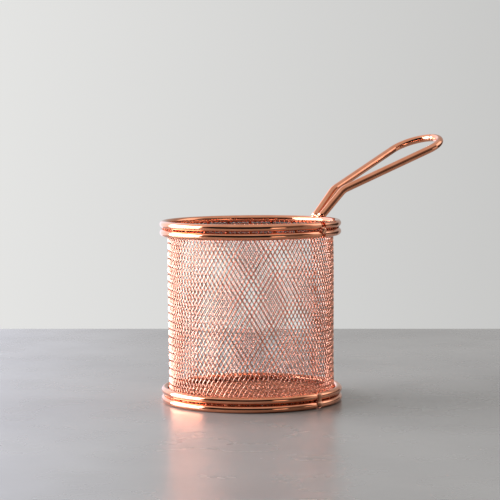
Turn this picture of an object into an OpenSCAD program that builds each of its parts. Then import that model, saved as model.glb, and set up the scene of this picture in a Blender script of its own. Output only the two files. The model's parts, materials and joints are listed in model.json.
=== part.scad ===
// Round wire serving basket: a tube of woven mesh held between two pairs of
// wire rings, with a bent-wire loop handle welded on the rim.
// Origin: on the basket's axis, in the plane it stands on. +Z is up, +X is
// along the handle.

/* [Basket] */
// Outside diameter of the four rings
basket_d = 90; // [80:1:110]
// Height from the table to the top of the rim
basket_h = 90; // [70:1:110]

/* [Rings] */
// Thickness of the ring wire
ring_wire = 3.6; // [3.4:0.1:4]
// Gap between the two rings of a pair, which clamps the mesh edge
ring_gap = 0.5; // [0.5:0.1:0.8]
// Width of the butt gap in each ring, filled by its seam weld
seam_w = 3.2; // [2:0.1:4]
// Direction of the rim seam, round from the handle
rim_seam_az = -76; // [-120:1:-40]
// Direction of the base seam, round from the handle
base_seam_az = -81; // [-120:1:-40]

/* [Mesh] */
// Thickness of the woven wire
mesh_wire = 0.45; // [0.4:0.05:0.5]
// Gap between the wall and the rings it passes inside
stand_off = 0.2; // [0.1:0.1:0.4]
// How far the clamped mesh edge reaches past the middle of the ring wire
mesh_edge = 0.9; // [0.5:0.1:1.2]
// Width of the strip where the two ends of the wall mesh lap
lap_w = 6; // [4:0.5:8]
// Direction of the lap, round from the handle
lap_az = 0; // [-30:1:60]
// Number of spot welds round the rim, and round the base
spot_count = 24; // [12:1:30]
// Diameter of one spot weld
spot_d = 1.4; // [1:0.1:1.6]

/* [Handle] */
// Thickness of the handle wire
handle_wire = 3.9; // [3.6:0.1:4]
// Distance between the feet of the two legs, centre to centre
foot_spread = 4.5; // [4.2:0.1:6]
// Distance between the legs where they bend
bend_spread = 7.5; // [7:0.1:9]
// How far the bend is outside the feet
bend_out = 14.3; // [12:0.1:16]
// How far the bend is above the feet
bend_up = 13.8; // [12:0.1:16]
// Slope of the loop above level
loop_slope = 21.4; // [15:0.1:28]
// Half of the angle between the two sides of the loop
loop_half_angle = 10.6; // [9:0.1:12]
// Radius of the loop's round end, to the middle of the wire
loop_r = 14.1; // [13:0.1:16]
// Radius of the bend between leg and loop, to the middle of the wire
bend_r = 9; // [6:0.5:12]

/* [Hidden] */
$fn = 96;
copper = "#c98a6b";
weld_copper = "#b9714f";
mesh_copper = "#d39a80";

// Rings: radius and heights of their wire centres
wire_r = ring_wire / 2;
ring_r = basket_d / 2 - wire_r;
ring_pitch = ring_wire + ring_gap;
base_lower_z = wire_r;
base_upper_z = base_lower_z + ring_pitch;
rim_upper_z = basket_h - wire_r;
rim_lower_z = rim_upper_z - ring_pitch;
base_clamp_z = (base_lower_z + base_upper_z) / 2;
rim_clamp_z = (rim_lower_z + rim_upper_z) / 2;

// Mesh: two wires thick where they cross, and pressed thinner in the clamps.
// The wall bends round a ring at each end, so its two faces are given as
// distances from that ring's wire centre.
sheet_t = 2 * mesh_wire;
clamp_clear = 0.05;
clamp_near = wire_r + clamp_clear;
clamp_far = wire_r + ring_gap - clamp_clear;
wall_near = wire_r + stand_off;
wall_far = wall_near + sheet_t;
edge_r = ring_r + mesh_edge;
turn_steps = 8;

// Lap of the wall: a second layer outside the first, between the rings
lap_clear = 0.1;
lap_t = 0.6;
lap_inner_r = ring_r - wall_near + lap_clear;
lap_low_z = base_upper_z + wire_r + 0.4;
lap_high_z = rim_lower_z - wire_r - 0.4;
lap_weld_count = 9;

// Handle: feet stand on top of the rim's upper ring
foot_rise = 1.2;
foot = [ring_r, foot_spread / 2, rim_upper_z + foot_rise];
bend = [ring_r + bend_out, bend_spread / 2, foot.z + bend_up];
tip_turn = 90 + loop_half_angle;
tip_half_w = loop_r * tan(tip_turn / 2);
loop_len = (tip_half_w - bend_spread / 2) / tan(loop_half_angle);
loop_tip = [bend.x + loop_len * cos(loop_slope), tip_half_w, bend.z + loop_len * sin(loop_slope)];

// Bends are a hair thicker than the straight lengths, whose ends tuck into them
bend_wire = handle_wire + 0.02;
tuck = 0.2;

function unit(v) = v / norm(v);
function across_y(p) = [p.x, -p.y, p.z];

// Points round a centre, from one angle and radius to another
function turn_arc(centre, r0, r1, a0, a1) = [
    for (i = [0:turn_steps])
        let (t = i / turn_steps, r = r0 + (r1 - r0) * t, a = a0 + (a1 - a0) * t)
        centre + r * [cos(a), sin(a)]
];

// Places children with their X, Y and Z along three unit vectors at a point
module along(x, y, z, at) {
    multmatrix([
        [x.x, y.x, z.x, at.x],
        [x.y, y.y, z.y, at.y],
        [x.z, y.z, z.z, at.z],
        [0, 0, 0, 1]
    ]) children();
}

// Straight wire from a to b
module straight(a, b, d) {
    z = unit(b - a);
    x = unit(cross([0, 1, 0], z));
    along(x, cross(z, x), z, a) cylinder(h = norm(b - a), d = d);
}

// Bent wire of radius r that rounds the corner at p, coming from a, going to b.
// It turns on past the end of the corner where times is over 1.
module elbow(a, p, b, r, d, times = 1) {
    from = unit(p - a);
    to = unit(b - p);
    turn = acos(from * to);
    inward = unit(to - (to * from) * from);
    start = p - r * tan(turn / 2) * from;
    along(-inward, from, cross(-inward, from), start + r * inward)
        rotate_extrude(angle = turn * times) translate([r, 0]) circle(d = d);
}

// How far the rounded corner at p starts before p
function trim(a, p, b, r) = r * tan(acos(unit(p - a) * unit(b - p)) / 2);

// One ring of wire, open at its seam
module ring(z, seam_az) {
    open = seam_w / ring_r * 180 / PI;
    rotate([0, 0, seam_az + open / 2])
        translate([0, 0, z])
        rotate_extrude(angle = 360 - open) translate([ring_r, 0]) circle(d = ring_wire);
}

// Both rings' seam closed by one upright bead that fills their butt gaps
module seam_bead(low_z, high_z, seam_az) {
    open = seam_w / ring_r * 180 / PI;
    bead_half = wire_r * 0.98;
    chamfer = 0.8;
    bottom = low_z - wire_r * 0.7;
    top = high_z + wire_r * 0.7;
    rotate([0, 0, seam_az - open / 2])
        rotate_extrude(angle = open)
        polygon([
            [ring_r - bead_half + chamfer, bottom],
            [ring_r + bead_half - chamfer, bottom],
            [ring_r + bead_half, bottom + chamfer],
            [ring_r + bead_half, top - chamfer],
            [ring_r + bead_half - chamfer, top],
            [ring_r - bead_half + chamfer, top],
            [ring_r - bead_half, top - chamfer],
            [ring_r - bead_half, bottom + chamfer]
        ]);
}

// Discs standing in a ring of places round the clamped mesh edge
module spots(z, h) {
    for (i = [0:spot_count - 1])
        rotate([0, 0, (i + 0.5) * 360 / spot_count])
            translate([ring_r, 0, z])
            cylinder(h = h, d = spot_d, center = true);
}

module rim_upper_ring() {
    color(copper) ring(rim_upper_z, rim_seam_az);
}

module rim_lower_ring() {
    color(copper) ring(rim_lower_z, rim_seam_az);
}

module base_upper_ring() {
    color(copper) ring(base_upper_z, base_seam_az);
}

module base_lower_ring() {
    color(copper) ring(base_lower_z, base_seam_az);
}

module rim_seam_weld() {
    color(weld_copper)
        difference() {
            seam_bead(rim_lower_z, rim_upper_z, rim_seam_az);
            clamped_edge(rim_clamp_z, ring_gap);
        }
}

module base_seam_weld() {
    color(weld_copper)
        difference() {
            seam_bead(base_lower_z, base_upper_z, base_seam_az);
            clamped_edge(base_clamp_z, ring_gap);
        }
}

// Space that the clamped mesh takes between two rings
module clamped_edge(z, h) {
    translate([0, 0, z]) cylinder(h = h, r = edge_r, center = true);
}

// Half-section of the wall: its edge under the rim's upper ring, round the
// lower ring, down, and round the base's upper ring into the base clamp
function wall_section() = concat(
    [[edge_r, rim_lower_z + clamp_far], [edge_r, rim_lower_z + clamp_near]],
    turn_arc([ring_r, rim_lower_z], clamp_near, wall_near, 90, 180),
    turn_arc([ring_r, base_upper_z], wall_near, clamp_near, 180, 270),
    [[edge_r, base_upper_z - clamp_near], [edge_r, base_clamp_z]],
    turn_arc([ring_r, base_upper_z], base_upper_z - base_clamp_z, wall_far, 270, 180),
    turn_arc([ring_r, rim_lower_z], wall_far, clamp_far, 180, 90)
);

module wall_mesh() {
    color(mesh_copper)
        difference() {
            rotate_extrude() polygon(wall_section());
            spots(rim_clamp_z, ring_gap);
            spots(base_clamp_z, ring_gap);
        }
}

// The outer end of the rolled wall mesh, where it laps the inner end
module wall_lap_strip() {
    lap = lap_w / lap_inner_r * 180 / PI;
    color(mesh_copper)
        rotate([0, 0, lap_az - lap / 2])
        rotate_extrude(angle = lap)
        translate([lap_inner_r, lap_low_z]) square([lap_t, lap_high_z - lap_low_z]);
}

// Spot welds in one line up the lap, filling the space between its layers
module wall_lap_welds() {
    step = (lap_high_z - lap_low_z) / lap_weld_count;
    weld_turn = spot_d / lap_inner_r * 180 / PI;
    color(weld_copper)
        for (i = [0:lap_weld_count - 1])
            rotate([0, 0, lap_az - weld_turn / 2])
            rotate_extrude(angle = weld_turn)
            translate([lap_inner_r - lap_clear, lap_low_z + (i + 0.5) * step - spot_d / 2])
            square([lap_clear, spot_d]);
}

// Disc of mesh, full thickness inside the wall and pressed thinner in the clamp
module base_mesh() {
    full_r = ring_r - wall_far - 0.4;
    pressed_r = full_r + mesh_wire;
    pressed_z = base_lower_z + clamp_near;
    color(mesh_copper)
        difference() {
            rotate_extrude()
                polygon([
                    [0, base_clamp_z - mesh_wire],
                    [full_r, base_clamp_z - mesh_wire],
                    [pressed_r, pressed_z],
                    [edge_r, pressed_z],
                    [edge_r, base_clamp_z],
                    [pressed_r, base_clamp_z],
                    [full_r, base_clamp_z + mesh_wire],
                    [0, base_clamp_z + mesh_wire]
                ]);
            spots(base_clamp_z, ring_gap);
        }
}

module rim_spot_welds() {
    color(weld_copper) spots(rim_clamp_z, ring_gap);
}

module base_spot_welds() {
    color(weld_copper) spots(base_clamp_z, ring_gap);
}

// One side of the handle wire, from its foot to the loop's round end
module handle_side() {
    up_leg = unit(bend - foot);
    up_side = unit(loop_tip - bend);
    bend_trim = trim(foot, bend, loop_tip, bend_r) - tuck;
    tip_trim = trim(bend, loop_tip, across_y(loop_tip), loop_r) - tuck;
    straight(foot, bend - bend_trim * up_leg, handle_wire);
    elbow(foot, bend, loop_tip, bend_r, bend_wire);
    straight(bend + bend_trim * up_side, loop_tip - tip_trim * up_side, handle_wire);
}

module handle_loop() {
    color(copper)
        difference() {
            union() {
                handle_side();
                mirror([0, 1, 0]) handle_side();
                elbow(bend, loop_tip, across_y(loop_tip), loop_r, bend_wire, 2);
            }
            ring(rim_upper_z, rim_seam_az);
        }
}

// The straight stretch of both legs, standing on the rim
module legs() {
    for (side = [0, 1])
        mirror([0, side, 0]) straight(foot, foot + (bend - foot) / 2, handle_wire);
}

// One puddle of weld metal round each foot
module foot_puddles() {
    puddle_h = 2.6;
    puddle_r = handle_wire / 2 + 0.5;
    for (side = [-1, 1])
        translate([foot.x + 0.3, side * foot.y, rim_upper_z + 0.6])
            cylinder(h = puddle_h, r1 = puddle_r, r2 = puddle_r - 0.9);
}

module handle_foot_welds() {
    color(weld_copper)
        difference() {
            foot_puddles();
            legs();
            ring(rim_upper_z, rim_seam_az);
        }
}

// Weld metal that fills the notch between the two legs above the ring
module handle_bridge_weld() {
    color(weld_copper)
        difference() {
            translate([foot.x + 1.2, 0, foot.z + 1.5])
                rotate([90, 0, 0]) cylinder(h = foot_spread, d = handle_wire * 0.85, center = true);
            legs();
            foot_puddles();
            ring(rim_upper_z, rim_seam_az);
        }
}

rim_upper_ring();
rim_lower_ring();
rim_seam_weld();
base_upper_ring();
base_lower_ring();
base_seam_weld();
wall_mesh();
wall_lap_strip();
wall_lap_welds();
base_mesh();
rim_spot_welds();
base_spot_welds();
handle_loop();
handle_foot_welds();
handle_bridge_weld();
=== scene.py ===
"""Looks of a round copper-plated wire serving basket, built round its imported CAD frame.

The rings are the CAD nodes with a better material. The handle is one smooth tube along the CAD's bends, the
closed mesh sheets are replaced by wires that are really woven, and the plain weld solids by uneven beads.
"""

import json
import math

import bmesh
import bpy
import numpy as np
from mathutils import Euler, Matrix, Vector
from mathutils import noise as turbulence


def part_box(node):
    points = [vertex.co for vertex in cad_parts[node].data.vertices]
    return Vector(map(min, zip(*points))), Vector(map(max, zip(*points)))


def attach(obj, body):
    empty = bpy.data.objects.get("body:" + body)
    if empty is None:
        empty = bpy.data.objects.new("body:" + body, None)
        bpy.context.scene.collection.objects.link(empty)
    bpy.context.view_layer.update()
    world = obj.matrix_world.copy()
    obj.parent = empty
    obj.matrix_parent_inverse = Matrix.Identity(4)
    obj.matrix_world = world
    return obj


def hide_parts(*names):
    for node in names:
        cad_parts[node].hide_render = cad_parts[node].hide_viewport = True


MM = 0.001
TURN = 2 * math.pi

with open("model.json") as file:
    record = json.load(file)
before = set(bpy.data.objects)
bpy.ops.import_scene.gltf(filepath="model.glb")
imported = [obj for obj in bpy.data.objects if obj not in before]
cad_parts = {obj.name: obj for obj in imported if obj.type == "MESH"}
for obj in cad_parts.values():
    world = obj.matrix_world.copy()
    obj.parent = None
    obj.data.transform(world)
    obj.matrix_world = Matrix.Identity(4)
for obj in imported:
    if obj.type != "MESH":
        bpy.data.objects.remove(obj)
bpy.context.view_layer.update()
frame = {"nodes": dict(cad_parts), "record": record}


# ---------------------------------------------------------------- sizes read from the frame


def middle(node):
    low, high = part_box(node)
    return (low + high) / 2


def height(node):
    low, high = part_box(node)
    return high.z - low.z


RING_WIRE_R = height("rim_upper_ring") / 2
RING_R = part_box("rim_upper_ring")[1].x - RING_WIRE_R
RIM_UPPER_Z = middle("rim_upper_ring").z
RIM_LOWER_Z = middle("rim_lower_ring").z
BASE_UPPER_Z = middle("base_upper_ring").z
BASE_LOWER_Z = middle("base_lower_ring").z
RIM_CLAMP_Z = (RIM_UPPER_Z + RIM_LOWER_Z) / 2
BASE_CLAMP_Z = (BASE_UPPER_Z + BASE_LOWER_Z) / 2
CLAMP_GAP = RIM_UPPER_Z - RIM_LOWER_Z - 2 * RING_WIRE_R
EDGE_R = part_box("wall_mesh")[1].x

# The woven wire. It swings off the sheet's middle to pass over and under, and less where it is clamped.
WIRE_R = 0.225 * MM
WALL_STRANDS = 110
DIAMOND_H = 3.88 * MM
WALL_STAND_OFF = 0.2 * MM
SWING = 0.45 * WIRE_R
CLAMPED_SHARE = 0.2
STEPS_PER_WAVE = 6
WIRE_SIDES = 6

# Places on the real basket, round from the handle
RIM_SEAM = math.radians(-76)
BASE_SEAM = math.radians(-81)
LAP_TURN = math.radians(0)


# ---------------------------------------------------------------- materials

# Noises of the plate, per metre
PATCH_SCALE = 180
GLOSS_SCALE = 420
GRAIN_SCALE = 2600

# Most of a noise's values lie between these
NOISE_LOW = 0.3
NOISE_HIGH = 0.7


def new_material(name):
    mat = bpy.data.materials.new(name)
    mat.use_nodes = True
    nodes = mat.node_tree.nodes
    nodes.clear()
    out = nodes.new("ShaderNodeOutputMaterial")
    skin = nodes.new("ShaderNodeBsdfPrincipled")
    mat.node_tree.links.new(skin.outputs["BSDF"], out.inputs["Surface"])
    return mat, skin


def noise(mat, scale, detail):
    """A noise texture in the row frame's own metres."""
    nodes, links = mat.node_tree.nodes, mat.node_tree.links
    place = nodes.new("ShaderNodeTexCoord")
    tex = nodes.new("ShaderNodeTexNoise")
    tex.inputs["Scale"].default_value = scale
    tex.inputs["Detail"].default_value = detail
    links.new(place.outputs["Object"], tex.inputs["Vector"])
    return tex.outputs["Fac"]


def spread(mat, source, low, high):
    """Maps a noise value onto a range."""
    node = mat.node_tree.nodes.new("ShaderNodeMapRange")
    node.inputs["From Min"].default_value = NOISE_LOW
    node.inputs["From Max"].default_value = NOISE_HIGH
    node.inputs["To Min"].default_value = low
    node.inputs["To Max"].default_value = high
    mat.node_tree.links.new(source, node.inputs["Value"])
    return node.outputs["Result"]


def blend_colours(mat, source, first, second):
    """Mix of two colours by a value; each is three numbers or another node's colour."""
    node = mat.node_tree.nodes.new("ShaderNodeMix")
    node.data_type = "RGBA"
    sockets = [s for s in node.inputs if s.type == "RGBA"]
    for socket, colour in zip(sockets, (first, second)):
        if isinstance(colour, tuple):
            socket.default_value = (*colour, 1)
        else:
            mat.node_tree.links.new(colour, socket)
    mat.node_tree.links.new(source, node.inputs[0])
    return [s for s in node.outputs if s.type == "RGBA"][0]


def bump(mat, source, distance, below=None):
    """A normal that follows a height, on top of another bump where there is one."""
    node = mat.node_tree.nodes.new("ShaderNodeBump")
    node.inputs["Distance"].default_value = distance
    mat.node_tree.links.new(source, node.inputs["Height"])
    if below is not None:
        mat.node_tree.links.new(below, node.inputs["Normal"])
    return node.outputs["Normal"]


def attribute(mat, name):
    node = mat.node_tree.nodes.new("ShaderNodeAttribute")
    node.attribute_name = name
    return node.outputs["Fac"]


def copper(name, tones, rough, waves, grain, shade_colour=None):
    """Copper plate: two close tones, patchy gloss, soft waves, a fine grain, and painted shade where wires
    cross or are clamped.

    Rough is the least and the most roughness, waves is their height and how many there are per metre, and
    grain is the height of the grain.
    """
    mat, skin = new_material(name)
    links = mat.node_tree.links
    skin.inputs["Metallic"].default_value = 1.0
    bright, dull = tones
    patches = spread(mat, noise(mat, PATCH_SCALE, 4), 0.0, 1.0)
    colour = blend_colours(mat, patches, bright, dull)
    if shade_colour is not None:
        # Painted shade: the shade colour is blended in by the wires' contact attribute, where they cross or
        # are clamped
        contact_shade = attribute(mat, "contact_shade")
        colour = blend_colours(mat, contact_shade, colour, shade_colour)
    links.new(colour, skin.inputs["Base Color"])
    gloss = spread(mat, noise(mat, GLOSS_SCALE, 3), *rough)
    links.new(gloss, skin.inputs["Roughness"])
    wave_height, wave_scale = waves
    soft = bump(mat, noise(mat, wave_scale, 1), wave_height)
    fine = bump(mat, noise(mat, GRAIN_SCALE, 2), grain, below=soft)
    links.new(fine, skin.inputs["Normal"])
    return mat


# Each plate's two tones, brighter and duller, and the painted shade of a wire where it touches another
PLATE = ((0.93, 0.40, 0.235), (0.84, 0.33, 0.18))
FINE_PLATE = ((0.88, 0.47, 0.34), (0.72, 0.32, 0.21))
# The floor plate is a darker copy, painted shade of the basket's inside; it also paints shade on what lies in
# the rings' clamps and seam gaps
SHADED_FLOOR_PLATE = ((0.52, 0.19, 0.10), (0.38, 0.12, 0.06))
FOOT_PLATE = ((0.56, 0.24, 0.14), (0.42, 0.17, 0.10))
WELD_PLATE = ((0.95, 0.48, 0.30), (0.82, 0.36, 0.22))
# Painted shade: the colour of a wire where it crosses another or lies in a clamp
CONTACT_SHADE_COLOUR = (0.22, 0.07, 0.035)

MESH_WAVES = (0.01 * MM, 300)
MESH_GRAIN = 0.002 * MM


def make_materials():
    """The finishes. The floor mesh's darker plate is painted shade, and it is also the painted shade of the
    spot welds and of the seams' cores.
    """
    return {
        "ring_wire": copper("copper_ring", PLATE, (0.03, 0.07), (0.03 * MM, 90), 0.0002 * MM),
        "handle_wire": copper("copper_handle", PLATE, (0.03, 0.07), (0.02 * MM, 80), 0.0002 * MM),
        "woven_mesh": copper("copper_mesh", FINE_PLATE, (0.14, 0.24), MESH_WAVES, MESH_GRAIN, CONTACT_SHADE_COLOUR),
        "floor_mesh": copper("copper_floor_shaded", SHADED_FLOOR_PLATE, (0.22, 0.32), MESH_WAVES, MESH_GRAIN, CONTACT_SHADE_COLOUR),
        "weld": copper("copper_weld", WELD_PLATE, (0.28, 0.42), (0.04 * MM, 500), 0.003 * MM),
        "foot_weld": copper("copper_foot_weld", FOOT_PLATE, (0.24, 0.34), (0.03 * MM, 400), 0.001 * MM),
    }


# ---------------------------------------------------------------- meshes


def adopt(piece, replaces):
    """Hangs a finished piece under the root body and hides the CAD nodes it stands for."""
    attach(piece, "root")
    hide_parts(*replaces)


def new_object(name, points, faces, mat):
    mesh = bpy.data.meshes.new(name)
    mesh.from_pydata(points, [], faces)
    mesh.validate()
    mesh.materials.append(mat)
    mesh.polygons.foreach_set("use_smooth", [True] * len(mesh.polygons))
    piece = bpy.data.objects.new(name, mesh)
    bpy.context.scene.collection.objects.link(piece)
    return piece


def tube(path, normals, radius, sides=WIRE_SIDES):
    """Points and side faces of a round tube along a path. The normals say where its sides start."""
    tangents = np.gradient(path, axis=0)
    tangents /= np.linalg.norm(tangents, axis=1, keepdims=True)
    across = np.cross(tangents, normals)
    across /= np.linalg.norm(across, axis=1, keepdims=True)
    up = np.cross(across, tangents)
    angles = TURN * (np.arange(sides) + 0.5) / sides
    ring = np.cos(angles)[:, None] * up[:, None] + np.sin(angles)[:, None] * across[:, None]
    points = (path[:, None] + radius * ring).reshape(-1, 3)
    first = (np.arange(len(path)) * sides)[:, None]
    around = np.arange(sides)
    after = (around + 1) % sides
    a, b = first[:-1], first[1:]
    return points, np.stack([a + around, a + after, b + after, b + around], axis=-1).reshape(-1, 4)


def end_caps(count, sides):
    """The two flat ends of a tube that has that many points."""
    return [list(range(sides))[::-1], list(range(count - sides, count))]


def wire_piece(name, wires, mat, replaces):
    """One piece of many wires. Each wire is its path, the sheet's normals and how much painted shade it has
    along it.
    """
    points, faces, contact_shade = [], [], []
    before = 0
    for path, normals, wire_shade in wires:
        tube_points, tube_faces = tube(path, normals, WIRE_R)
        points.append(tube_points)
        faces += (tube_faces + before).tolist()
        faces += [[before + k for k in cap] for cap in end_caps(len(tube_points), WIRE_SIDES)]
        contact_shade.append(np.repeat(wire_shade, WIRE_SIDES))
        before += len(tube_points)
    piece = new_object(name, np.concatenate(points), faces, mat)
    # Painted shade along each wire, kept on its points for the material
    layer = piece.data.attributes.new("contact_shade", "FLOAT", "POINT")
    layer.data.foreach_set("value", np.concatenate(contact_shade).astype(np.float32))
    adopt(piece, replaces)


# ---------------------------------------------------------------- woven wall

# Points on the turn of the wall's profile round a ring
PROFILE_TURN_POINTS = 24

# Where the swing starts to grow, in ring wires into the wall from the middle of the nearest ring
SWING_STARTS = -0.7

# Share of the edge past the middle of the ring that the shortest and the longest wire keep
SHORTEST_CUT = 0.2
LONGEST_CUT = 0.75
CUT_SEED = 5

# How dark the painted shade is where two wires touch
CROSSING_SHADE = 0.4

# Unevenness of the hand-rolled wall: mm, waves round it, waves up it in radians per metre, and phase
DENTS_ROUND = ((0.28, 3, 35, 0.6), (0.14, 5, -60, 2.1))
DENTS_UP = ((0.32, 2, 30, 1.0), (0.16, 4, 75, 0.0))
DENTS_OUT = ((0.10, 4, 60, 0.3), (0.05, 9, -70, 0.0))
DENTS_FADE = 8 * MM


def wall_profile():
    """Middle surface of the wall as (r, z) points: out of the rim clamp, down, and into the base clamp."""
    in_clamp = RING_WIRE_R + CLAMP_GAP / 2
    in_wall = RING_WIRE_R + WALL_STAND_OFF + 2 * WIRE_R
    turn = np.linspace(0, 1, PROFILE_TURN_POINTS)
    radius = in_clamp + (in_wall - in_clamp) * turn

    def quarter(z, start, reach):
        angle = np.radians(start) + turn * math.pi / 2
        return np.stack([RING_R + reach * np.cos(angle), z + reach * np.sin(angle)], axis=1)

    rim_edge = np.array([[EDGE_R, RIM_CLAMP_Z]])
    base_edge = np.array([[EDGE_R, BASE_CLAMP_Z]])
    rim_turn = quarter(RIM_LOWER_Z, 90, radius)
    base_turn = quarter(BASE_UPPER_Z, 180, radius[::-1])
    return np.concatenate([rim_edge, rim_turn, base_turn, base_edge])


def along_profile(profile, step):
    """Even steps along a profile: distance, (r, z), outward normal."""
    lengths = np.linalg.norm(np.diff(profile, axis=0), axis=1)
    at = np.concatenate([[0], np.cumsum(lengths)])
    s = np.linspace(0, at[-1], int(round(at[-1] / step)) + 1)
    r = np.interp(s, at, profile[:, 0])
    z = np.interp(s, at, profile[:, 1])
    dr, dz = np.gradient(r), np.gradient(z)
    size = np.hypot(dr, dz)
    return s, r, z, -dz / size, dr / size


def weave_depth(z):
    """How far a wire swings off the sheet: full in the wall, pressed flat near the clamps."""
    near = np.minimum(z - BASE_UPPER_Z, RIM_LOWER_Z - z) / (2 * RING_WIRE_R)
    share = CLAMPED_SHARE + (1 - CLAMPED_SHARE) * (near - SWING_STARTS)
    return SWING * np.clip(share, CLAMPED_SHARE, 1.0)


def dent(waves, angle, z):
    """One kind of dent, fading out towards the clamps."""
    size = sum(mm * np.sin(around * angle + up * z + phase) for mm, around, up, phase in waves)
    return size * MM * np.clip(np.minimum(z - BASE_UPPER_Z, RIM_LOWER_Z - z) / DENTS_FADE, 0, 1)


def shade_along_weave(phase):
    """Painted shade along a wire's weave: most where it crosses another, none half-way between."""
    return CROSSING_SHADE * np.cos(phase) ** 8


def woven_wires(way):
    """The wall's wires that lean one way; each is cut off at its own length inside the clamps."""
    s, r, z, normal_r, normal_z = along_profile(wall_profile(), DIAMOND_H / STEPS_PER_WAVE)
    phase = TURN * s / DIAMOND_H
    swing = way * weave_depth(z) * np.cos(phase)
    # Painted shade of the clamps: full where the wire lies between the rings, on top of the crossings' shade
    clamp_shade = np.clip((r - RING_R) / RING_WIRE_R + 1, 0, 1)
    cuts = np.random.default_rng(CUT_SEED + way).uniform(SHORTEST_CUT, LONGEST_CUT, WALL_STRANDS)
    wires = []
    for i in range(WALL_STRANDS):
        angle = TURN * i / WALL_STRANDS + way * TURN / (WALL_STRANDS * DIAMOND_H) * s
        reach = np.where(r > RING_R, RING_R + cuts[i] * (r - RING_R), r)
        radius = reach + swing * normal_r + dent(DENTS_OUT, angle, z)
        turned = angle + dent(DENTS_ROUND, angle, z) / RING_R
        level = z + swing * normal_z + dent(DENTS_UP, angle, z)
        path = np.stack([radius * np.cos(turned), radius * np.sin(turned), level], axis=1)
        sheet = np.stack([normal_r * np.cos(turned), normal_r * np.sin(turned), normal_z], axis=1)
        wires.append((path, sheet, np.maximum(shade_along_weave(phase), clamp_shade)))
    return wires


def make_wall(mat):
    wire_piece("wall_wires_rising_left", woven_wires(1), mat, ["wall_mesh"])
    wire_piece("wall_wires_rising_right", woven_wires(-1), mat, ["wall_mesh"])


# ---------------------------------------------------------------- lap of the wall mesh

# How deep the wires run under the lap's outside, and how far they swing
LAP_WIRE_DEPTH = 0.3 * MM
LAP_SWING = 0.6 * SWING


def lap_wires(way):
    """Short wires of the second layer, cut along the lap's two edges."""
    low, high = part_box("wall_lap_strip")
    radius = high.x - LAP_WIRE_DEPTH
    pace = TURN / (WALL_STRANDS * DIAMOND_H)
    reach = high.y / radius / pace
    wires = []
    for k in range(int((high.z - low.z + 2 * reach) / DIAMOND_H)):
        centre = low.z - reach + (k + 0.5) * DIAMOND_H
        start = max(centre - reach, low.z)
        stop = min(centre + reach, high.z)
        if stop - start < 2 * WIRE_R:
            continue
        z = np.linspace(start, stop, max(3, int((stop - start) / (DIAMOND_H / STEPS_PER_WAVE))))
        angle = LAP_TURN + way * pace * (z - centre)
        phase = TURN * (z - centre) / DIAMOND_H
        r = radius - way * LAP_SWING * np.cos(phase)
        path = np.stack([r * np.cos(angle), r * np.sin(angle), z], axis=1)
        sheet = np.stack([np.cos(angle), np.sin(angle), 0 * z], axis=1)
        # Painted shade where the wires cross
        wires.append((path, sheet, shade_along_weave(phase)))
    return wires


def make_lap(mat):
    wire_piece("lap_wires", lap_wires(1) + lap_wires(-1), mat, ["wall_lap_strip"])


# ---------------------------------------------------------------- woven floor

FLOOR_PITCH = 2.33 * MM
FLOOR_TURN = math.radians(20)

# How far the wires end inside the floor's edge, and the least half length of one
FLOOR_CUT = 0.5 * MM
FLOOR_LEAST_HALF = 4 * MM

# The floor's wires are pressed flat beyond this radius, and swing in full this much further in
FLOOR_PRESSED_R = RING_R - 1.5 * MM
FLOOR_PRESSED_WIDTH = 2 * MM


def floor_wires(lengthwise):
    """The floor's wires of one direction, in a plain square weave pressed flat in the clamp."""
    count = int(EDGE_R / FLOOR_PITCH)
    wires = []
    for i in range(-count, count + 1):
        side = i * FLOOR_PITCH
        half = math.sqrt(max(EDGE_R**2 - side**2, 0)) - FLOOR_CUT
        if half < FLOOR_LEAST_HALF:
            continue
        along = np.linspace(-half, half, int(STEPS_PER_WAVE * half / FLOOR_PITCH))
        phase = math.pi * along / FLOOR_PITCH
        inside = (FLOOR_PRESSED_R - np.hypot(along, side)) / FLOOR_PRESSED_WIDTH
        depth = SWING * np.clip(inside, CLAMPED_SHARE, 1)
        sign = (-1) ** i * (1 if lengthwise else -1)
        level = BASE_CLAMP_Z + sign * depth * np.cos(phase)
        across = np.full(len(along), side)
        u, v = (along, across) if lengthwise else (across, along)
        c, t = math.cos(FLOOR_TURN), math.sin(FLOOR_TURN)
        path = np.stack([c * u - t * v, t * u + c * v, level], axis=1)
        up = np.tile((0.0, 0.0, 1.0), (len(along), 1))
        # Painted shade where the wires cross
        wires.append((path, up, shade_along_weave(phase)))
    return wires


def make_floor_mesh(mat):
    wire_piece("floor_wires_long", floor_wires(True), mat, ["base_mesh"])
    wire_piece("floor_wires_cross", floor_wires(False), mat, ["base_mesh"])


# ---------------------------------------------------------------- handle

# The wire and its bends as the CAD model has them
HANDLE_R = 1.95 * MM
FOOT_SPREAD = 4.5 * MM
BEND_SPREAD = 7.5 * MM
FOOT_RISE = 1.2 * MM
BEND_FROM_FOOT = Vector((14.3, 0, 13.8)) * MM
BEND_R = 9 * MM
LOOP_R = 14.1 * MM
LOOP_SLOPE = math.radians(21.4)
LOOP_HALF_ANGLE = math.radians(10.6)

# How it is drawn. The two bends of the loop's end fall a hair short of each other, or a point would repeat.
HANDLE_SIDES = 32
BEND_STEPS = 40
STRAIGHT_STEP = 2 * MM
LOOP_DRAWN_R = 0.9999 * LOOP_R


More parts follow.
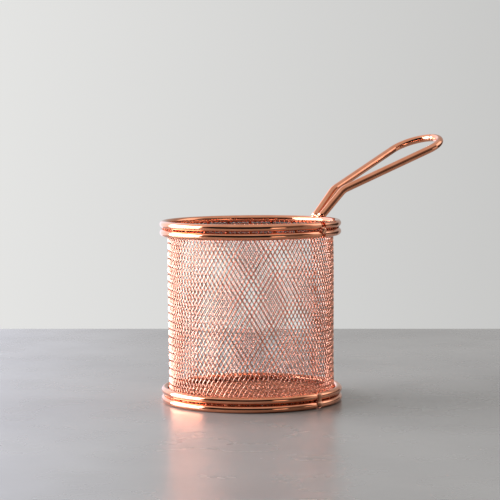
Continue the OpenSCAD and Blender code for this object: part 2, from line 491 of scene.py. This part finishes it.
def rounded(corners, corner_radii):
    """A path through the corners with each inner one rounded to its own radius."""
    path = [Vector(corners[0])]

    def run_to(target):
        start = path[-1].copy()
        steps = max(1, int((target - start).length / STRAIGHT_STEP))
        for k in range(1, steps + 1):
            path.append(start.lerp(target, k / steps))

    for i, radius in enumerate(corner_radii, 1):
        back = (corners[i - 1] - corners[i]).normalized()
        on = (corners[i + 1] - corners[i]).normalized()
        half = back.angle(on) / 2
        trim = radius / math.tan(half)
        run_to(corners[i] + trim * back)
        centre = corners[i] + radius / math.sin(half) * (back + on).normalized()
        first = path[-1] - centre
        last = corners[i] + trim * on - centre
        sweep = first.angle(last)
        for k in range(1, BEND_STEPS + 1):
            part = k / BEND_STEPS
            ratios = math.sin((1 - part) * sweep), math.sin(part * sweep)
            path.append(centre + (ratios[0] * first + ratios[1] * last) / math.sin(sweep))
    run_to(corners[-1])
    return np.array([tuple(point) for point in path])


def make_handle(mat):
    """The handle wire along its CAD centre line, as one smooth tube."""
    tip_half = LOOP_R * math.tan((math.pi / 2 + LOOP_HALF_ANGLE) / 2)
    length = (tip_half - BEND_SPREAD / 2) / math.tan(LOOP_HALF_ANGLE)
    foot = Vector((RING_R, FOOT_SPREAD / 2, RIM_UPPER_Z + FOOT_RISE))
    bend = Vector((foot.x, BEND_SPREAD / 2, foot.z)) + BEND_FROM_FOOT
    tip = bend + length * Vector((math.cos(LOOP_SLOPE), 0, math.sin(LOOP_SLOPE)))
    tip.y = tip_half
    half = [foot, bend, tip]
    corners = half + [Vector((c.x, -c.y, c.z)) for c in reversed(half)]
    path = rounded(corners, [BEND_R, LOOP_DRAWN_R, LOOP_DRAWN_R, BEND_R])
    upward = np.tile((-math.sin(LOOP_SLOPE), 0, math.cos(LOOP_SLOPE)), (len(path), 1))
    points, sides = tube(path, upward, HANDLE_R, HANDLE_SIDES)
    faces = sides.tolist() + end_caps(len(points), HANDLE_SIDES)
    adopt(new_object("handle_wire", points, faces, mat), ["handle_loop"])


# ---------------------------------------------------------------- welds

# How finely a weld's skin is made, and the height and the size of its lumps
SEAM_VOXEL = 0.14 * MM
FOOT_VOXEL = 0.16 * MM
DOT_VOXEL = 0.12 * MM
CORE_LUMPS = (0.05 * MM, 0.9 * MM)
BEAD_LUMPS = (0.03 * MM, 0.9 * MM)
FOOT_LUMPS = (0.10 * MM, 1.4 * MM)
LAP_DOT_LUMPS = (0.06 * MM, 0.8 * MM)
SPOT_LUMPS = (0.05 * MM, 0.8 * MM)

# How many dots and spots there are, their radii out, along and up, and how deep the dots lie, in mm
LAP_DOT_COUNT = 9
LAP_DOT_SIZE = (0.55, 0.95, 0.95)
LAP_DOT_DEPTH = 0.4
SPOT_COUNT = 24
SPOT_SIZE = (0.75, 0.85, 0.45)


def blob(turn, out, along, z, size):
    """Where an ellipsoid of weld metal lies near the rings, its shape and how it is turned.

    Turn is the direction round the basket. Out and along are how far it is from the middle of the ring's
    wire, and size is its radii outward, along the ring and upward, all in mm. The height z is in metres.
    """
    outward = Vector((math.cos(turn), math.sin(turn), 0))
    onward = Vector((-math.sin(turn), math.cos(turn), 0))
    centre = (RING_R + out * MM) * outward + along * MM * onward + Vector((0, 0, z))
    radii = [length * MM for length in size]
    return Matrix.Translation(centre) @ Matrix.Rotation(turn, 4, "Z") @ Matrix.Diagonal((*radii, 1))


def melt(name, blobs, voxel, lumps, mat, replaces):
    """A weld: overlapping ellipsoids melted into one smooth, slightly lumpy skin."""
    soup = bmesh.new()
    for place in blobs:
        bmesh.ops.create_icosphere(soup, subdivisions=3, radius=1, matrix=place)
    mesh = bpy.data.meshes.new(name + "_blobs")
    soup.to_mesh(mesh)
    soup.free()
    rough = bpy.data.objects.new(name + "_blobs", mesh)
    bpy.context.scene.collection.objects.link(rough)
    remesh = rough.modifiers.new("melt", "REMESH")
    remesh.mode = "VOXEL"
    remesh.voxel_size = voxel
    relax = rough.modifiers.new("relax", "SMOOTH")
    relax.factor = 0.6
    relax.iterations = 5
    bpy.context.view_layer.update()
    skin = bpy.data.meshes.new_from_object(rough.evaluated_get(bpy.context.evaluated_depsgraph_get()))
    bpy.data.objects.remove(rough)
    bpy.data.meshes.remove(mesh)
    lump_height, lump_size = lumps
    normals = [v.normal.copy() for v in skin.vertices]
    for vertex, normal in zip(skin.vertices, normals):
        vertex.co += lump_height * lumpiness(vertex.co / lump_size) * normal
    skin.materials.clear()
    skin.materials.append(mat)
    skin.polygons.foreach_set("use_smooth", [True] * len(skin.polygons))
    skin.name = name
    piece = bpy.data.objects.new(name, skin)
    bpy.context.scene.collection.objects.link(piece)
    adopt(piece, replaces)


def lumpiness(place):
    return turbulence.noise(place) + 0.5 * turbulence.noise(2.3 * place)


def make_rim_seam(mat, core_shade_mat):
    """The butt gaps are only partly filled by a core in the floor's darker plate, painted shade of the gap;
    one round bead ties the two rings.
    """
    core = [
        blob(RIM_SEAM, -0.2, 0, RIM_UPPER_Z - 0.3 * MM, (0.95, 2.4, 0.95)),
        blob(RIM_SEAM, -0.1, 0, RIM_LOWER_Z, (1.2, 2.4, 1.2)),
    ]
    bead = [
        blob(RIM_SEAM, 1.9, -0.2, RIM_CLAMP_Z - 0.3 * MM, (1.3, 1.4, 1.8)),
        blob(RIM_SEAM, 0.9, -0.4, RIM_CLAMP_Z, (1.2, 1.0, 1.5)),
    ]
    melt("rim_seam_core", core, SEAM_VOXEL, CORE_LUMPS, core_shade_mat, ["rim_seam_weld"])
    melt("rim_seam_bead", bead, SEAM_VOXEL, BEAD_LUMPS, mat, ["rim_seam_weld"])


def make_base_seam(mat, core_shade_mat):
    """Cores in the floor's darker plate, painted shade of the gaps, lie in the butt gaps, and a tall bead
    runs over both rings.
    """
    core = [
        blob(BASE_SEAM, 0, 0, BASE_UPPER_Z, (1.2, 2.4, 1.2)),
        blob(BASE_SEAM, 0, 0, BASE_LOWER_Z, (1.3, 2.4, 1.3)),
    ]
    bead = [
        blob(BASE_SEAM, 1.6, 0, BASE_UPPER_Z + 0.3 * MM, (1.25, 1.35, 1.6)),
        blob(BASE_SEAM, 1.6, 0, BASE_CLAMP_Z, (1.0, 1.1, 2.6)),
        blob(BASE_SEAM, 1.5, 0.1, BASE_LOWER_Z + 0.6 * MM, (1.65, 2.0, 1.5)),
    ]
    melt("base_seam_core", core, SEAM_VOXEL, CORE_LUMPS, core_shade_mat, ["base_seam_weld"])
    melt("base_seam_bead", bead, SEAM_VOXEL, BEAD_LUMPS, mat, ["base_seam_weld"])


def make_foot_weld(mat):
    """Weld metal run round both feet of the handle and across the ring between them."""
    top = RIM_UPPER_Z + RING_WIRE_R
    foot_y = FOOT_SPREAD / 2 / MM
    blobs = []
    for side in (-1, 1):
        blobs.append(blob(0, 0.2, side * foot_y, top - 0.4 * MM, (2.0, 1.8, 0.9)))
        blobs.append(blob(0, -0.5, side * (foot_y - 0.4), top, (1.2, 1.5, 0.75)))
    blobs.append(blob(0, -0.5, 0, top + 0.3 * MM, (0.9, 1.7, 0.9)))
    blobs.append(blob(0, 1.2, 0, top + 0.8 * MM, (1.4, 1.5, 1.3)))
    replaced = ["handle_foot_welds", "handle_bridge_weld"]
    melt("handle_root_weld", blobs, FOOT_VOXEL, FOOT_LUMPS, mat, replaced)


def make_lap_welds(mat):
    """Pressed dots up the lap, through both layers."""
    low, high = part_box("wall_lap_strip")
    step = (high.z - low.z) / LAP_DOT_COUNT
    out = (high.x - RING_R) / MM - LAP_DOT_DEPTH
    heights = [low.z + (i + 0.5) * step for i in range(LAP_DOT_COUNT)]
    dots = [blob(LAP_TURN, out, 0, z, LAP_DOT_SIZE) for z in heights]
    melt("lap_weld_dots", dots, DOT_VOXEL, LAP_DOT_LUMPS, mat, ["wall_lap_welds"])


def make_spot_welds(mat):
    """Small squeezed spots that join the mesh edge to the rings."""
    turns = [TURN * (i + 0.5) / SPOT_COUNT for i in range(SPOT_COUNT)]
    for place, z in (("rim", RIM_CLAMP_Z), ("base", BASE_CLAMP_Z)):
        spots = [blob(turn, 0, 0, z, SPOT_SIZE) for turn in turns]
        melt(place + "_weld_dots", spots, DOT_VOXEL, SPOT_LUMPS, mat, [place + "_spot_welds"])


# ---------------------------------------------------------------- stage, lights and camera

# Where the viewer stands, in metres, and how far the camera looks down, looks aside and is rolled, in degrees
VIEW_TURN = math.radians(37.7)
VIEW_DISTANCE = 0.9
VIEW_HEIGHT = 0.1378
VIEW_DOWN = 4.0
VIEW_SIDE = 0.018
VIEW_ROLL = -0.5
LENS = 130.9

# Directions of the view, level with the table
FORWARD = Vector((math.sin(VIEW_TURN), math.cos(VIEW_TURN), 0))
RIGHTWARD = Vector((math.cos(VIEW_TURN), -math.sin(VIEW_TURN), 0))

# The table top: how far it reaches aside, behind and in front, how much its far edge slants, its two tones,
# and how many clouds and gloss patches it has per metre
TABLE_HALF = 1.2
TABLE_BACK = 0.313
TABLE_FRONT = 0.27
TABLE_SLANT = 0.077
TABLE_TONES = ((0.33, 0.315, 0.288), (0.265, 0.252, 0.232))
TABLE_CLOUDS = 9
TABLE_GLOSS = 30
TABLE_ROUGH = (0.22, 0.30)

# The window: places as right, forward and up in the view
WINDOW_AT = (-1.1, 0.1, 0.34)
WINDOW_AIM = (0, 0, 0.12)
WINDOW_SIZE = (1.2, 0.68)
WINDOW_POWER = 36
WINDOW_COLOUR = (0.94, 0.97, 1.10)


def in_view(right, forward, up):
    return right * RIGHTWARD + forward * FORWARD + Vector((0, 0, up))


def make_camera():
    data = bpy.data.cameras.new("camera")
    data.lens = LENS
    data.sensor_width = 36
    data.clip_start = 0.05
    camera = bpy.data.objects.new("camera", data)
    bpy.context.scene.collection.objects.link(camera)
    camera.location = in_view(0, -VIEW_DISTANCE, VIEW_HEIGHT)
    level = Euler((math.radians(90 - VIEW_DOWN), 0, -VIEW_TURN + math.radians(VIEW_SIDE)))
    rolled = level.to_matrix() @ Matrix.Rotation(math.radians(VIEW_ROLL), 3, "Z")
    camera.rotation_euler = rolled.to_euler()
    bpy.context.scene.camera = camera


def make_table():
    """A pale table top that ends just out of view in front, and as the room's skyline behind."""
    mat, skin = new_material("pale_floor")
    links = mat.node_tree.links
    clouds = spread(mat, noise(mat, TABLE_CLOUDS, 5), 0.0, 1.0)
    links.new(blend_colours(mat, clouds, *TABLE_TONES), skin.inputs["Base Color"])
    links.new(spread(mat, noise(mat, TABLE_GLOSS, 4), *TABLE_ROUGH), skin.inputs["Roughness"])
    slant = TABLE_SLANT * TABLE_HALF
    corners = [
        in_view(-TABLE_HALF, TABLE_BACK + slant, 0),
        in_view(-TABLE_HALF, -TABLE_FRONT, 0),
        in_view(TABLE_HALF, -TABLE_FRONT, 0),
        in_view(TABLE_HALF, TABLE_BACK - slant, 0),
    ]
    mesh = bpy.data.meshes.new("floor")
    mesh.from_pydata([tuple(c) for c in corners], [], [(0, 1, 2, 3)])
    mesh.materials.append(mat)
    floor = bpy.data.objects.new("floor", mesh)
    bpy.context.scene.collection.objects.link(floor)


def make_window():
    """The only lamp: a large window to the viewer's left."""
    data = bpy.data.lights.new("window", "AREA")
    data.shape = "RECTANGLE"
    data.size, data.size_y = WINDOW_SIZE
    data.energy = WINDOW_POWER
    data.color = WINDOW_COLOUR
    window = bpy.data.objects.new("window", data)
    bpy.context.scene.collection.objects.link(window)
    window.location = in_view(*WINDOW_AT)
    aim = in_view(*WINDOW_AIM) - in_view(*WINDOW_AT)
    window.rotation_euler = aim.to_track_quat("-Z", "Y").to_euler()
    window.visible_camera = False


# The room that the metal reflects, as patches of the sky round the basket. Azimuth is measured from the
# viewer, positive to the viewer's right, and elevation from the horizon, in degrees.
ROOM_WALL = (0.50, 0.50, 0.49)
ROOM = [
    # azimuth from, to, elevation from, to, softness, colour
    (-400, 400, 42, 100, 12, (0.62, 0.62, 0.62)),
    (-172, -110, -30, 45, 8, (1.35, 1.40, 1.65)),
    (110, 172, -30, 40, 10, (0.42, 0.42, 0.41)),
    (-105, 95, -100, 40, 10, (0.13, 0.115, 0.105)),
    (88, 128, 14, 46, 7, (1.50, 1.50, 1.55)),
    (-130, -68, 16, 56, 7, (1.10, 1.10, 1.15)),
    (-56, 27, -40, 30, 2.5, (0.006, 0.010, 0.013)),
    (27, 46, -24, 3, 2.5, (2.60, 2.30, 2.00)),
    (46, 150, -30, 8, 3, (0.05, 0.045, 0.04)),
    (70, 98, -16, 6, 4, (0.90, 0.85, 0.80)),
]

# The backdrop that the eye sees: its colour, its brightness to the left and to the right, and how far aside
# of the view's middle it reaches them
BACKDROP_COLOUR = (1.0, 1.0, 0.985)
BACKDROP_LEFT = 0.78
BACKDROP_RIGHT = 0.58
BACKDROP_SIDE = 0.14


def make_world():
    """Pale backdrop to the eye, and a room to the metal: light walls, and a dim side towards the viewer."""
    world = bpy.data.worlds.new("studio")
    bpy.context.scene.world = world
    world.use_nodes = True
    nodes, links = world.node_tree.nodes, world.node_tree.links
    nodes.clear()
    place = nodes.new("ShaderNodeTexCoord").outputs["Generated"]

    def maths(operation, *values):
        node = nodes.new("ShaderNodeMath")
        node.operation = operation
        for socket, value in zip(node.inputs, values):
            if isinstance(value, (int, float)):
                socket.default_value = value
            else:
                links.new(value, socket)
        return node.outputs["Value"]

    def part_along(direction):
        node = nodes.new("ShaderNodeVectorMath")
        node.operation = "DOT_PRODUCT"
        node.inputs[1].default_value = direction
        links.new(place, node.inputs[0])
        return node.outputs["Value"]

    def ramp(value, start, stop, low, high, curve="SMOOTHSTEP"):
        node = nodes.new("ShaderNodeMapRange")
        node.interpolation_type = curve
        node.inputs["From Min"].default_value = start
        node.inputs["From Max"].default_value = stop
        node.inputs["To Min"].default_value = low
        node.inputs["To Max"].default_value = high
        links.new(value, node.inputs["Value"])
        return node.outputs["Result"]

    def between(value, low, high, soft):
        rise = ramp(value, low - soft, low + soft, 0, 1)
        fall = ramp(value, high - soft, high + soft, 1, 0)
        return maths("MULTIPLY", rise, fall)

    side = part_along(RIGHTWARD)
    azimuth = maths("DEGREES", maths("ARCTAN2", side, part_along(-FORWARD)))
    elevation = maths("DEGREES", maths("ARCSINE", part_along((0, 0, 1))))
    felt = nodes.new("ShaderNodeBackground")
    colour = ROOM_WALL
    for az_from, az_to, el_from, el_to, soft, tone in ROOM:
        aside = between(azimuth, az_from, az_to, soft)
        upward = between(elevation, el_from, el_to, soft)
        colour = blend_colours(world, maths("MULTIPLY", aside, upward), colour, tone)
    links.new(colour, felt.inputs["Color"])

    seen = nodes.new("ShaderNodeBackground")
    seen.inputs["Color"].default_value = (*BACKDROP_COLOUR, 1)
    strength = ramp(side, -BACKDROP_SIDE, BACKDROP_SIDE, BACKDROP_LEFT, BACKDROP_RIGHT, "LINEAR")
    links.new(strength, seen.inputs["Strength"])
    choose = nodes.new("ShaderNodeMixShader")
    links.new(nodes.new("ShaderNodeLightPath").outputs["Is Camera Ray"], choose.inputs["Fac"])
    links.new(felt.outputs["Background"], choose.inputs[1])
    links.new(seen.outputs["Background"], choose.inputs[2])
    out = nodes.new("ShaderNodeOutputWorld")
    links.new(choose.outputs["Shader"], out.inputs["Surface"])


# ---------------------------------------------------------------- assembly


def dress_cad_nodes(materials):
    record_slots = {s["node"]: s["material_slot"] for s in frame["record"]["subparts"]}
    for name, node in frame["nodes"].items():
        for index in range(len(node.data.materials)):
            node.data.materials[index] = materials[record_slots[name]]


make_camera()
make_table()
make_window()
make_world()
bpy.context.scene.view_settings.view_transform = "Standard"
MATERIALS = make_materials()
dress_cad_nodes(MATERIALS)
make_wall(MATERIALS["woven_mesh"])
make_lap(MATERIALS["woven_mesh"])
make_floor_mesh(MATERIALS["floor_mesh"])
make_handle(MATERIALS["handle_wire"])
make_rim_seam(MATERIALS["weld"], MATERIALS["floor_mesh"])
make_base_seam(MATERIALS["weld"], MATERIALS["floor_mesh"])
make_foot_weld(MATERIALS["foot_weld"])
make_lap_welds(MATERIALS["weld"])
# The spot welds take the floor's darker plate: painted shade of the rings' clamps
make_spot_welds(MATERIALS["floor_mesh"])
